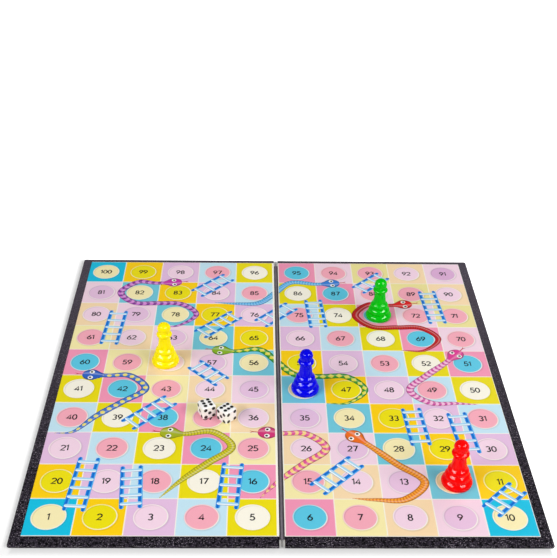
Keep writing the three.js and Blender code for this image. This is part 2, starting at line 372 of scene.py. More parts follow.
def laminate_effect():
    """Clear laminate over print: a slow orange peel with fine paper tooth, and gloss that drifts a little."""
    bench, given, out = effect("laminate", {"Place": "Vector"}, SKIN_OUTPUTS)
    peel = bench.noise(given["Place"], 420.0)
    tooth = bench.noise(given["Place"], 2600.0)
    roughness = bench.noise(given["Place"], 26.0, 3.0) * 0.14 + 0.33
    bench.feed(out, {"Height": tooth * 0.35 + peel, "Roughness": roughness, "Tone": tooth * 0.1 + 0.95})
    return bench.tree


def moulded_effect():
    """Moulded plastic: flow marks that shift the tone and the gloss, and a faint waviness."""
    bench, given, out = effect("moulded", {"Place": "Vector"}, SKIN_OUTPUTS)
    flow = bench.noise(given["Place"], 130.0, 3.0)
    speck = bench.noise(given["Place"], 900.0)
    roughness = speck * 0.08 + 0.05
    bench.feed(out, {"Height": speck * 0.15 + flow, "Roughness": roughness, "Tone": flow * 0.16 + 0.92})
    return bench.tree


def drawn_line_effect():
    """A drawn ribbon read along it and across it, 0 at its right edge and 1 at its left, with an ink edge and a
    sheen."""
    outputs = {"Along": "Float", "Across": "Float", "Edge": "Float", "Sheen": "Float"}
    bench, given, out = effect("drawn_line", {"Run": "Vector", "Sheen": "Float"}, outputs)
    along, across, _ = bench.axes(given["Run"])
    edge = (abs(across - 0.5) * 2.0).step(0.64, 0.96)
    sheen = across.band(given["Sheen"], 0.09, 0.08)
    bench.feed(out, {"Along": along, "Across": across, "Edge": edge, "Sheen": sheen})
    return bench.tree


LAMINATE = laminate_effect()
DRAWN_LINE = drawn_line_effect()
MOULDED = moulded_effect()

PALETTE = {
    "cyan": ink(8, 192, 226),
    "turquoise": ink(114, 202, 221),
    "amber": ink(255, 209, 0),
    "lilac": ink(230, 192, 226),
    "pale_blue": ink(197, 230, 244),
    "lime": ink(237, 221, 0),
    "pink": ink(246, 152, 184),
    "pale_yellow": ink(250, 238, 174),
    "straw": ink(240, 228, 154),
    "peach": ink(250, 221, 176),
    "pale_pink": ink(245, 215, 230),
    "cream": ink(249, 237, 182),
    "olive": ink(240, 226, 0),
    "pale_lilac": ink(246, 215, 232),
    "salmon": ink(248, 172, 188),
    "ivory": ink(252, 247, 230),
    "sky": ink(92, 202, 230),
    "mauve": ink(232, 195, 224),
    "orchid": ink(222, 174, 214),
}

# Squares and then their discs, along one diagonal after another from the front left corner
DIAGONAL_SQUARES = (
    "cyan amber lilac pale_blue lime pink pale_yellow peach pale_pink turquoise "
    "amber lilac pale_blue lime pink pale_pink straw peach pale_pink"
).split()
DIAGONAL_DISCS = (
    "cream olive pale_lilac salmon ivory sky salmon pale_lilac mauve cream "
    "olive pale_lilac salmon ivory sky salmon salmon pale_lilac orchid"
).split()
PAPER_WHITE = ink(250, 247, 236)
CHESS_CREAM = ink(238, 224, 192)
CHESS_BROWN = ink(104, 62, 40)


def squares_effect():
    """The game's squares: each takes its colour from its diagonal, two corners from the first one, and holds a
    disc with a lit rim and a soft shade beside it; pale gutters run between the squares."""
    inputs = {"Place": "Vector", "Start": "Float", "Pitch": "Float", "First": "Float", "Inner": "Float"}
    bench, given, out = effect("squares", inputs, {"Colour": "Color"})
    x, y, _ = bench.axes(given["Place"])
    across = (x - given["Start"]) / given["Pitch"]
    away = (y - PRINT_FRONT) / ROW_PITCH
    column = across.calc("FLOOR") + given["First"]
    row = away.calc("FLOOR")
    share = (column + row + 0.5) / len(DIAGONAL_SQUARES)
    square = bench.stepped(share, [PALETTE[name] for name in DIAGONAL_SQUARES])
    disc = bench.stepped(share, [PALETTE[name] for name in DIAGONAL_DISCS])
    corner = abs(column - row).calc("GREATER_THAN", COLUMNS - 1.5)
    square = bench.mix(corner, square, PALETTE["cyan"])

    wide, deep = given["Pitch"] / MM, ROW_PITCH / MM
    off_x = (across.calc("FRACT") - 0.5) * wide
    off_y = (away.calc("FRACT") - 0.5) * deep

    def reach(shift_x, shift_y):
        side, rise = off_x - shift_x, off_y - shift_y
        return (side * side + rise * rise).calc("SQRT")

    shade = reach(0.35, -0.35).step(DISC_RADIUS + 1.0, DISC_RADIUS - 0.3)
    square = bench.toned(square, shade * -0.16 + 1.0)

    radius = reach(0.0, 0.0)
    inner = DISC_RADIUS - DISC_RIM
    slant = (off_x - off_y) / (DISC_RADIUS * math.sqrt(2))
    hollow = radius.band(inner - 0.35, 0.3, 0.25) * (slant * -1.0).calc("MAXIMUM", 0.0)
    disc = bench.toned(disc, hollow * -0.2 + 1.0)
    rim = radius.step(inner - 0.12, inner + 0.12) * (slant * 0.25 + 0.6)
    disc = bench.mix(rim, disc, PAPER_WHITE)
    colour = bench.mix(radius.step(DISC_RADIUS + 0.06, DISC_RADIUS - 0.06), square, disc)

    edge = (wide * 0.5 - abs(off_x)).calc("MINIMUM", abs(off_y) * -1.0 + deep / 2)
    colour = bench.mix(edge.step(GUTTER + 0.08, GUTTER - 0.08) * 0.85, colour, PAPER_WHITE)
    past_hinge = abs(x).calc("LESS_THAN", given["Inner"])
    beyond = past_hinge.calc("MAXIMUM", away.calc("LESS_THAN", 0.0))
    bench.feed(out, {"Colour": bench.mix(beyond, colour, PAPER_WHITE)})
    return bench.tree


SQUARES = squares_effect()


def play_print(leaf):
    bench = Finish(f"{leaf.side}_play_print")
    limits = {"Start": leaf.start, "Pitch": leaf.pitch, "First": float(leaf.first), "Inner": leaf.inner}
    return bench.laminated(bench.use(SQUARES, Place=bench.object_place(), **limits)["Colour"])


def chess_print(leaf, low, high):
    """Brown and cream squares, an even grid of eight by eight over both leaves, inside a thin brown frame."""
    bench = Finish(f"{leaf.side}_chess_print")
    x, y, _ = bench.axes(bench.object_place())
    reach = max(abs(low.x), abs(high.x)) - CHESS_FRAME
    depth = high.y - CHESS_FRAME
    across = (x + reach) / (2 * reach / CHESS_SQUARES)
    away = (y + depth) / (2 * depth / CHESS_SQUARES)
    count = across.calc("FLOOR") + away.calc("FLOOR")
    dark = (count + 2 * CHESS_SQUARES).calc("MODULO", 2.0)
    colour = bench.mix(dark, CHESS_CREAM, CHESS_BROWN)
    margin = (abs(x) - reach).calc("MAXIMUM", abs(y) - depth)
    colour = bench.mix(margin.step(-0.02 * MM, 0.02 * MM), colour, CHESS_CREAM)
    line = margin.band(1.4 * MM, 0.4 * MM, 0.05 * MM)
    return bench.laminated(bench.mix(line, colour, CHESS_BROWN))


def plain_print(name, colour):
    """One printed colour whose ink lies a little uneven."""
    bench = Finish(name)
    lighter = tuple(min(1.0, value * 1.35 + 0.012) for value in colour[:3]) + (1.0,)
    return bench.laminated(bench.mix(bench.noise(bench.object_place(), 1500.0), colour, lighter))


def rail_print():
    """Ladder rail: bright blue with a darker core, lit along one edge."""
    bench = Finish("ladder_rail_print")
    line = bench.use(DRAWN_LINE, Run=bench.surface_run(), Sheen=0.14)
    colour = bench.mix(line["Across"].band(0.56, 0.2, 0.12), ink(10, 142, 230), ink(0, 104, 206))
    return bench.laminated(bench.mix(line["Sheen"], colour, ink(96, 184, 242)))


def rung_print():
    """Ladder rung: pale blue above, white below, and a thin grey line along its foot."""
    bench = Finish("ladder_rung_print")
    line = bench.use(DRAWN_LINE, Run=bench.surface_run(), Sheen=0.30)
    colour = bench.mix(line["Across"].step(0.30, 0.66), ink(226, 244, 254), ink(164, 216, 244))
    colour = bench.mix(line["Sheen"], colour, ink(252, 254, 255))
    return bench.laminated(bench.mix(line["Across"].step(0.15, 0.05), colour, ink(134, 158, 196)))


def snake_print(snake):
    """A snake's skin along its body: a plain head, bands, spots or lozenges of a second colour behind it, a
    dark outline and a sheen."""
    bench = Finish(f"{snake.name}_snake_print")
    back, mark, crown = (ink(*colour) for colour in (snake.back, snake.mark, snake.crown))
    line = bench.use(DRAWN_LINE, Run=bench.surface_run(), Sheen=0.64)
    off = line["Across"] - 0.5
    along = line["Along"] / snake.repeat
    if snake.pattern == "bands":
        marked = (off * off * 1.2 + along).calc("FRACT").band(0.5, 0.24, 0.05)
    else:
        power, limit = (2.0, 0.09) if snake.pattern == "spots" else (1.0, 0.42)
        lift = abs(along.calc("FRACT") - 0.5)
        reach = lift.calc("POWER", power) + abs(off).calc("POWER", power)
        marked = reach.step(limit * 1.15, limit * 0.85)
    head = line["Along"].step(HEAD_LENGTH / MM + 0.6, HEAD_LENGTH / MM - 1.4)
    colour = bench.mix(head, bench.mix(marked, back, mark), crown)
    dark = tuple(value * 0.22 for value in back[:3]) + (1.0,)
    colour = bench.mix(line["Edge"] * 0.75, colour, dark)
    return bench.laminated(bench.mix(line["Sheen"] * 0.20, colour, ink(255, 255, 255)))


def leatherette():
    """Black embossed leatherette: pebbled cells with pores between them, a few pale specks of rubbed wear and
    painted glints, a painted sheen that makes it paler towards the back, and rubbed wear with a painted highlight
    along the fold of the edge, where the strip runs round the leaf."""
    bench = Finish("leatherette")
    place = bench.object_place()
    crease = bench.noise(place, 700.0, 4.0)
    pebble = bench.node("TexVoronoi", {"Vector": place, "Scale": 1500.0}, "Distance")
    height = crease * 0.7 - pebble * 0.9
    grain = bench.noise(place, 620.0, 4.0).step(0.36, 0.64)
    colour = bench.mix(grain, ink(0, 0, 3), ink(46, 41, 51))
    patch = bench.noise(place, 60.0, 3.0).step(0.32, 0.66)
    # Pale specks: partly rubbed wear, partly painted glints on the grain
    specks_wear_and_glints = bench.noise(place, 1500.0).step(0.56, 0.70) * (patch * 0.6 + 0.4)
    colour = bench.mix(specks_wear_and_glints, colour, ink(150, 142, 153))
    # Painted sheen: the strip grows paler towards the back, standing in for light glancing off it there
    depth = bench.axes(place)[1].step(CAD_BOX[0][1], CAD_BOX[1][1])
    colour = bench.mix(depth * 0.6, colour, ink(92, 84, 96))
    # Along the fold of the edge: rubbed wear and a painted highlight, paler where the edge turns
    fold = bench.axes(bench.surface_run())[1].band(0.27, 0.07, 0.03)
    fold_wear_and_highlight = fold * bench.noise(place, 420.0, 3.0).step(0.46, 0.62)
    colour = bench.mix(fold_wear_and_highlight * 0.55, colour, ink(140, 134, 138))
    return bench.coat(colour, crease * 0.25 + 0.48, height, relief=0.10 * MM, gloss=0.06)


def book_cloth():
    """Grey book cloth: warp and weft threads over each other, with a painted highlight that makes it paler along
    its ridge and painted shade that makes it darker at its sides.
    """
    bench = Finish("book_cloth")
    place = bench.object_place()
    x, y, _ = bench.axes(place)
    warp, weft = ((axis * (2 * math.pi / CLOTH_THREAD)).calc("SINE") for axis in (x, y))
    weave = warp * weft * 0.5 + 0.5
    slub = bench.noise(place, 320.0, 3.0)
    # Painted highlight and shade: paler along the middle of the ridge, darker towards the sides of the channel
    colour = bench.mix(abs(x).step(0.95 * MM, 0.35 * MM), ink(92, 85, 94), ink(136, 127, 138))
    colour = bench.toned(colour, weave * 0.3 + slub * 0.4 + 0.65)
    return bench.coat(colour, slub * 0.15 + 0.75, weave, relief=0.06 * MM)


def greyboard():
    """Pulp board: pressed grey fibres with paler flecks, layered at its cut edges."""
    bench = Finish("greyboard")
    place = bench.object_place()
    pulp = bench.noise(place, 500.0, 5.0)
    fleck = bench.noise(place, 1600.0).step(0.60, 0.72)
    layer = (bench.axes(place)[2] * (2 * math.pi / (0.3 * MM))).calc("SINE")
    colour = bench.mix(pulp, ink(120, 114, 106), ink(172, 166, 156))
    colour = bench.toned(bench.mix(fleck * 0.6, colour, ink(214, 208, 198)), layer * 0.05 + 0.95)
    return bench.coat(colour, pulp * 0.15 + 0.8, pulp, relief=0.08 * MM)


def pawn_plastic(name, colour):
    """Glossy dyed plastic."""
    bench = Finish(name)
    skin = bench.use(MOULDED, Place=bench.object_place())
    colour = bench.toned(colour, skin["Tone"])
    return bench.coat(colour, skin["Roughness"], skin["Height"], relief=0.012 * MM, gloss=0.16)


def die_plastic():
    """White plastic with black paint in the pips, where the run holds each point's reach from the nearest pip."""
    bench = Finish("die_plastic")
    skin = bench.use(MOULDED, Place=bench.object_place())
    painted = bench.axes(bench.surface_run())[0].step(PIP_PAINT + 0.04, PIP_PAINT - 0.04)
    white = bench.toned(ink(250, 249, 246), skin["Tone"])
    colour = bench.mix(painted, white, ink(16, 16, 18))
    return bench.coat(colour, painted * 0.2 + skin["Roughness"], skin["Height"], relief=0.02 * MM)


# Surfaces

def joined(*parts):
    """Coordinates side by side, each spread over the shape that they share."""
    return np.stack(np.broadcast_arrays(*parts), axis=-1)


def arc(centre, radius, start, end, count=19):
    """Points along an arc of a circle, or of an ellipse where the radius is a pair, between two angles."""
    turn = np.radians(np.linspace(start, end, count))
    return np.array(centre) + joined(np.cos(turn), np.sin(turn)) * radius


def woven(here, ahead):
    """Quads between rows of point numbers and the rows ahead of them."""
    return joined(here[:, :-1], ahead[:, :-1], ahead[:, 1:], here[:, 1:]).reshape(-1, 4)


def skin_over(rings, run, wrapped=False):
    """Skin over a row of closed rings of points: quads join neighbours along and around, and a strip of quads
    closes the first and the last ring, unless the row runs back into itself."""
    count, around = rings.shape[:2]
    index = np.arange(count * around).reshape(count, around)
    closed = np.column_stack([index, index[:, 0]])
    if wrapped:
        quads = woven(closed, np.roll(closed, -1, axis=0))
    else:
        first = np.arange(around // 2 - 1)
        strip = joined(first, first + 1, around - 2 - first, around - 1 - first)
        quads = np.vstack([woven(closed[:-1], closed[1:]), index[0][strip], index[-1][strip[:, ::-1]]])
    return Surface(rings.reshape(-1, 3), quads, run.reshape(-1, 2))


def gathered(surfaces):
    """Several surfaces as one."""
    points, quads, runs = zip(*surfaces)
    offsets = np.cumsum([0, *map(len, points[:-1])])
    quads = [part + offset for part, offset in zip(quads, offsets)]
    return Surface(*map(np.vstack, (points, quads, runs)))


def path_run(path):
    """Length along a path, up to each of its points."""
    return np.concatenate([[0.0], np.cumsum(np.linalg.norm(np.diff(path, axis=0), axis=1))])


def ribbon(path, half_width, film, looped=False):
    """Printed line: point(u, v) = path(u) + v half_width(u) normal(u), v from -1 to 1, where the normal is the
    path's left one, lengthened at a corner so that the line keeps its width. It lies from just inside the play
    sheet up to the height of its film."""
    ahead = np.roll(path, -1, axis=0) - path
    if not looped:
        ahead[-1] = ahead[-2]
    ahead /= np.linalg.norm(ahead, axis=1, keepdims=True)
    behind = np.roll(ahead, 1, axis=0)
    if not looped:
        behind[0] = ahead[0]
    middle = (ahead + behind) / 2
    length = np.linalg.norm(middle, axis=1, keepdims=True)
    normal = joined(-middle[:, 1], middle[:, 0]) / np.maximum(length, 0.5) ** 2
    across = np.array([-1.0, 1.0, 1.0, -1.0])
    level = PLAY_TOP + np.array([film, film, -FILM_FOOT, -FILM_FOOT])
    half = np.broadcast_to(half_width, len(path))
    flat = path[:, None, :] + (half[:, None] * across)[:, :, None] * normal[:, None, :]
    rings = joined(flat[..., 0], flat[..., 1], level)
    return skin_over(rings, joined(path_run(path)[:, None] / MM, (across + 1) / 2), looped)


def dot(centre, radius, film):
    """Printed dot: a ribbon along a diameter whose half width is the circle's half chord."""
    turn = np.linspace(0.0, math.pi, 25)
    path = centre + joined(-radius * np.cos(turn), 0.0)
    return ribbon(path, radius * np.maximum(np.sin(turn), FILM_TIP), film)


def rounded_line(start, end, half, film):
    """Printed line with round ends: a straight ribbon whose half width rises as a quarter circle at each end."""
    turn = np.linspace(0, math.pi / 2, 8)
    inset = half * (1 - np.cos(turn))
    width = half * np.maximum(np.sin(turn), FILM_TIP)
    length = np.linalg.norm(end - start)
    reach = np.concatenate([inset, length - inset[::-1]])[:, None]
    return ribbon(start + (end - start) * reach / length, np.concatenate([width, width[::-1]]), film)


def smooth_path(knots, spacing):
    """Even steps along the curve that passes through the knots, each stretch a cubic whose slope at a knot is
    half the step between the knots on either side."""
    ends = np.vstack([2 * knots[0] - knots[1], knots, 2 * knots[-1] - knots[-2]])
    t = np.linspace(0, 1, 40, endpoint=False)[None, :, None]
    a, b, c, d = (ends[i : len(ends) - 3 + i][:, None, :] for i in range(4))
    cubic = 2 * b + (c - a) * t + (2 * a - 5 * b + 4 * c - d) * t**2 + (3 * b - a - 3 * c + d) * t**3
    curve = np.vstack([0.5 * cubic.reshape(-1, 2), knots[-1:]])
    run = path_run(curve)
    even = np.linspace(0, run[-1], int(run[-1] / spacing) + 2)
    return joined(*(np.interp(even, run, axis) for axis in curve.T))


def stand(name, data):
    """A new object in the scene."""
    piece = bpy.data.objects.new(name, data)
    bpy.context.scene.collection.objects.link(piece)
    return piece


def mesh_piece(name, surface, material, smooth_angle=None):
    """A mesh object of one surface, its doubles merged and its faces turned outwards."""
    mesh = bpy.data.meshes.new(name)
    mesh.from_pydata(surface.points.tolist(), [], surface.quads.tolist())
    layer = mesh.uv_layers.new(name="run")
    layer.uv.foreach_set("vector", surface.run[surface.quads.ravel()].astype(np.float32).ravel())
    mesh.materials.append(material)
    shell = bmesh.new()
    shell.from_mesh(mesh)
    bmesh.ops.remove_doubles(shell, verts=shell.verts, dist=MERGE_REACH)
    bmesh.ops.recalc_face_normals(shell, faces=shell.faces)
    shell.to_mesh(mesh)
    shell.free()
    if smooth_angle is not None:
        mesh.polygons.foreach_set("use_smooth", np.ones(len(mesh.polygons), dtype=bool))
        mesh.set_sharp_from_angle(angle=math.radians(smooth_angle))
    return stand(name, mesh)


def fitted(piece, body, slot, *nodes):
    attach(piece, body)
    if nodes:
        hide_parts(*nodes)


def cut_at_hinge(piece, leaf):
    """Keeps the part of a printed piece that lies on one leaf's print, and closes it along the cut."""
    shell = bmesh.new()
    shell.from_mesh(piece.data)
    whole = shell.verts[:] + shell.edges[:] + shell.faces[:]
    hinge, outward = (leaf.sign * leaf.inner, 0, 0), (leaf.sign, 0, 0)
    bmesh.ops.bisect_plane(shell, geom=whole, plane_co=hinge, plane_no=outward, clear_inner=True)
    rim = [edge for edge in shell.edges if edge.is_boundary]
    bmesh.ops.holes_fill(shell, edges=rim, sides=0)
    bmesh.ops.recalc_face_normals(shell, faces=shell.faces)
    shell.to_mesh(piece.data)
    shell.free()


def printed(name, surfaces, material):
    """A printed film on each leaf that it touches."""
    surface = gathered(surfaces)
    reach = surface.points[:, 0]
    on_left, on_right = reach.min() <= -HINGE_HALF, reach.max() >= HINGE_HALF
    for leaf, touched in ((LEFT, on_left), (RIGHT, on_right)):
        if not touched:
            continue
        piece = mesh_piece(f"{leaf.side}_{name}", surface, material)
        if reach.min() < HINGE_HALF and reach.max() > -HINGE_HALF:
            cut_at_hinge(piece, leaf)
        fitted(piece, leaf.body, "play_print")


# The board

def rounded_slab(low, high):
    """Flat sheet: a rectangle with rounded corners, each a quarter circle, carried from the back to the front."""
    corner = arc((0, 0), SHEET_ROUND, 0, 90, 4)
    left, right = low.x + SHEET_ROUND, high.x - SHEET_ROUND
    foot, head = low.z + SHEET_ROUND, high.z - SHEET_ROUND
    corners = (
        corner * (-1, 1) + (left, head),
        (corner + (right, head))[::-1],
        corner * (1, -1) + (right, foot),
        ((left, foot) - corner)[::-1],
    )
    out, level = np.vstack(corners).T
    rings = joined(out, np.linspace(high.y, low.y, SHEET_RINGS)[:, None], level)
    return skin_over(rings, rings[:, :, :2])


def folded_strip(out_flange, out_edge, under_flange, foot, head):
    """Cross-section of a strip folded round an edge, as distance out and height: over the top flange, round the
    edge in two quarter circles, back under, and then home along its inner face, one thickness in."""
    out = out_edge - BINDING_ROUND

    def face(inset):
        over = arc((out, head - BINDING_ROUND), BINDING_ROUND - inset, 90, 0, 5)
        under = arc((out, foot + BINDING_ROUND), BINDING_ROUND - inset, 0, -90, 5)
        return np.vstack([(out_flange, head - inset), over, under, (under_flange, foot + inset)])

    return np.vstack([face(0.0), face(BINDING)[::-1]])


def rounded_corners(points, out_side, out_end):
    """Rounds the outer corners of a leaf: past the centre of a corner's arc, a point keeps its direction from
    that centre, and its distance becomes the larger of its two offsets."""
    flat = points[..., :2]
    centre = np.sign(flat) * (out_side - CORNER_ROUND, out_end - CORNER_ROUND)
    offset = flat - centre
    outward = np.maximum(offset * np.sign(flat), 0.0)
    length = np.linalg.norm(outward, axis=-1, keepdims=True)
    factor = outward.max(axis=-1, keepdims=True) / np.maximum(length, 1e-9)
    in_corner = outward.min(axis=-1, keepdims=True) > 0
    rounded = np.where(in_corner, centre + offset * factor, flat)
    return np.concatenate([rounded, points[..., 2:]], axis=-1)


def binding(leaf, edge):
    """One bound edge of a leaf: the folded strip carried along it, mitred where it meets the next strip, with the
    rings closer together towards its ends."""
    node = f"{leaf.side}_{edge}_binding"
    low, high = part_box(node)
    chess_low, chess_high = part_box(f"{leaf.side}_chess_sheet")
    flange_side, out_side = sorted(abs(corner.x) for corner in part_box(f"{leaf.side}_side_binding"))
    out_end = max(-low.y, high.y)
    flanges = {
        "front": -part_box(f"{leaf.side}_front_binding")[1].y,
        "back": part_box(f"{leaf.side}_back_binding")[0].y,
    }
    mitres = {end: (out_end - flange) / (out_side - flange_side) for end, flange in flanges.items()}
    if edge == "side":
        under = max(-chess_low.x, chess_high.x) - UNDER_LAP
        out, level = folded_strip(flange_side, out_side, under, low.z, high.z).T
        start = (out_side - out) * mitres["front"] - out_end
        end = out_end - (out_side - out) * mitres["back"]
        share = 0.5 - 0.5 * np.cos(np.linspace(0, math.pi, SIDE_RINGS))[:, None]
        along = start + share * (end - start)
        rings = joined(leaf.sign * out, along, level)
    else:
        under = chess_high.y - UNDER_LAP
        out, level = folded_strip(flanges[edge], out_end, under, low.z, high.z).T
        limit = out_side - (out_end - out) / mitres[edge]
        share = np.sin(np.linspace(0, math.pi / 2, END_RINGS))[:, None]
        along = HINGE_HALF + share * (limit - HINGE_HALF)
        rings = joined(leaf.sign * along, -out if edge == "front" else out, level)
    outer = np.linspace(0, 1, len(out) // 2)
    run = joined(along / MM, np.concatenate([outer, outer[::-1]]))
    surface = skin_over(rounded_corners(rings, out_side, out_end), run)
    piece = mesh_piece(f"{leaf.side}_{edge}_leatherette", surface, LEATHERETTE, smooth_angle=40)
    fitted(piece, leaf.body, "leatherette", node)


def hinge_cloth():
    """Strip of book cloth under both leaves: flat where it is glued, and in the channel between the leaves it
    rises by a raised cosine to a soft ridge that wavers a little along its length."""
    low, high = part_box("hinge_cloth_left")
    reach = -low.x
    glued = np.linspace(HINGE_HALF, reach, 8)
    across = np.concatenate([-glued[::-1], np.linspace(-HINGE_HALF, HINGE_HALF, 33)[1:-1], glued])
    away = np.linspace(high.y, low.y, CLOTH_RINGS)[:, None]
    waver = 1 + sum(share * np.sin(away / length + start) for share, length, start in CLOTH_WAVES)
    rise = np.where(np.abs(across) < HINGE_HALF, 0.5 + 0.5 * np.cos(np.pi * across / HINGE_HALF), 0.0)
    top = high.z + CLOTH_RIDGE * waver * rise
    upper, lower = (joined(across, away, level) for level in (top, top - (high.z - low.z)))
    rings = np.concatenate([upper, lower[:, ::-1]], axis=1)
    surface = skin_over(rings, rings[:, :, :2] / MM)
    piece = mesh_piece("hinge_cloth_strip", surface, book_cloth(), smooth_angle=60)
    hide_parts("hinge_cloth_left", "hinge_cloth_right")
    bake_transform(piece)


LEATHERETTE = leatherette()
GREYBOARD = greyboard()
for leaf in LEAVES:
    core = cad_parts[f"{leaf.side}_core_board"]
    core.data.materials.clear()
    core.data.materials.append(GREYBOARD)
    surface = rounded_slab(leaf.low, leaf.high)
    top_sheet = mesh_piece(f"{leaf.side}_squares", surface, play_print(leaf), smooth_angle=40)
    fitted(top_sheet, leaf.body, "play_print", f"{leaf.side}_play_sheet")
    chess_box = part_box(f"{leaf.side}_chess_sheet")
    surface = rounded_slab(*chess_box)
    under_sheet = mesh_piece(f"{leaf.side}_chequer", surface, chess_print(leaf, *chess_box), smooth_angle=40)
    fitted(under_sheet, leaf.body, "chess_print", f"{leaf.side}_chess_sheet")
    for edge in ("side", "front", "back"):
        binding(leaf, edge)
hinge_cloth()


# Numbers

def digit_strokes():
    """Each digit as pen strokes in a box one high, with a flag for a stroke that closes on itself."""
    def ring(centre, radius):
        return arc(centre, radius, 0, 340), True

    def line(*points):
        return np.vstack(points), False

    loop = ring((0.30, 0.30), 0.255)
    stem = line(smooth_path(np.array([[0.45, 0.95], [0.25, 0.70], [0.12, 0.50], [0.05, 0.33]]), 0.05))
    hook = arc((0.30, 0.69), 0.25, 168, -38)
    bowl = arc((0.27, 0.315), 0.27, 122, -148)[1:]
    return {
        0: [ring((0.31, 0.5), (0.26, 0.455))],
        1: [line((0.02, 0.78), (0.22, 0.95), (0.22, 0.045))],
        2: [line(hook, (0.05, 0.045), (0.57, 0.045))],
        3: [line(arc((0.28, 0.725), 0.22, 150, -90)), line(arc((0.28, 0.275), 0.235, 90, -150))],
        4: [line((0.45, 0.045), (0.45, 0.94), (0.03, 0.27), (0.60, 0.27))],
        5: [line((0.53, 0.95), (0.17, 0.95), (0.11, 0.53), bowl)],
        6: [loop, stem],
        7: [line((0.05, 0.95), (0.57, 0.95), (0.22, 0.045))],
        8: [ring((0.30, 0.735), 0.205), ring((0.30, 0.28), 0.24)],
        9: [((0.60, 1.0) - stroke, looped) for stroke, looped in (loop, stem)],
    }


DIGITS = digit_strokes()


def number(value, centre):
    """The strokes of one number about a centre, digit after digit."""
    digits = [int(mark) for mark in str(value)]
    widths = [ONE_WIDTH if digit == 1 else DIGIT_WIDTH for digit in digits]
    cursor = -(sum(widths) + DIGIT_GAP * (len(digits) - 1)) / 2
    films = []
    for digit, width in zip(digits, widths):
        for stroke, looped in DIGITS[digit]:
            path = np.array(centre) + (stroke + (cursor, -0.5)) * DIGIT_HEIGHT
            films.append(ribbon(path, DIGIT_STROKE / 2, NUMBER_FILM, looped))
        cursor += width + DIGIT_GAP
    return films


def leaf_numbers(leaf):
    """The numbers of one leaf: they run left to right and right to left by turns, from the front row up."""
    films = []
    for row in range(ROWS):
        for step in range(LEAF_COLUMNS):
            column = leaf.first + step
            count = column if row % 2 == 0 else COLUMNS - 1 - column
            centre = (leaf.start + (step + 0.5) * leaf.pitch, PRINT_FRONT + (row + 0.5) * ROW_PITCH)
            films += number(row * COLUMNS + count + 1, centre)
    return films


printed("numbers", leaf_numbers(LEFT) + leaf_numbers(RIGHT), plain_print("number_print", ink(6, 2, 6)))


# Snakes and ladders, placed in columns and rows over the whole print

def on_print(spots):
    """Places on the board from columns and rows of the print."""
    columns, rows = np.array(spots).T
    return joined(LEFT.start + (RIGHT.high.x - LEFT.start) * columns / COLUMNS, PRINT_FRONT + ROW_PITCH * rows)


# Foot and top of each ladder
LADDERS = (
    ((0.95, 0.65), (1.06, 2.20)), ((2.06, 0.72), (1.96, 1.95)), ((3.95, 0.72), (4.05, 2.05)),
    ((5.75, 1.25), (6.62, 2.12)), ((9.15, 0.65), (9.85, 1.35)), ((9.06, 2.35), (8.95, 3.70)),
    ((1.72, 3.22), (2.62, 4.12)), ((3.75, 4.75), (3.05, 5.45)), ((8.04, 2.60), (7.96, 3.85)),
    ((0.96, 6.20), (1.05, 7.65)), ((3.12, 6.62), (4.02, 7.52)), ((4.60, 7.10), (5.42, 7.92)),
    ((6.05, 6.95), (5.96, 8.20)), ((9.05, 7.15), (8.95, 8.65)), ((7.15, 8.65), (7.90, 9.40)),
    ((2.95, 8.45), (3.78, 9.28)),
)


def ladder(foot, top):
    """Rails and rungs of one ladder: two straight lines with round ends either side of its middle, and shorter
    ones over them at an even pitch."""
    line = top - foot
    length = np.linalg.norm(line)
    along = line / length
    right = np.array([along[1], -along[0]])
    spread = right * RAIL_SPREAD / 2
    rails = [rounded_line(foot + side, top + side, RAIL_WIDTH / 2, RAIL_FILM) for side in (-spread, spread)]
    count = max(int(round((length - 2 * LADDER_END) / RUNG_PITCH)), 1) + 1
    middles = foot + along * np.linspace(LADDER_END, length - LADDER_END, count)[:, None]
    half = right * (RAIL_SPREAD + RAIL_WIDTH * RUNG_LAP) / 2
    rungs = [rounded_line(middle - half, middle + half, RUNG_WIDTH / 2, RUNG_FILM) for middle in middles]
    return rails, rungs


rails, rungs = (sum(films, []) for films in zip(*(ladder(*on_print(ends)) for ends in LADDERS)))
printed("ladder_rails", rails, rail_print())
printed("ladder_rungs", rungs, rung_print())

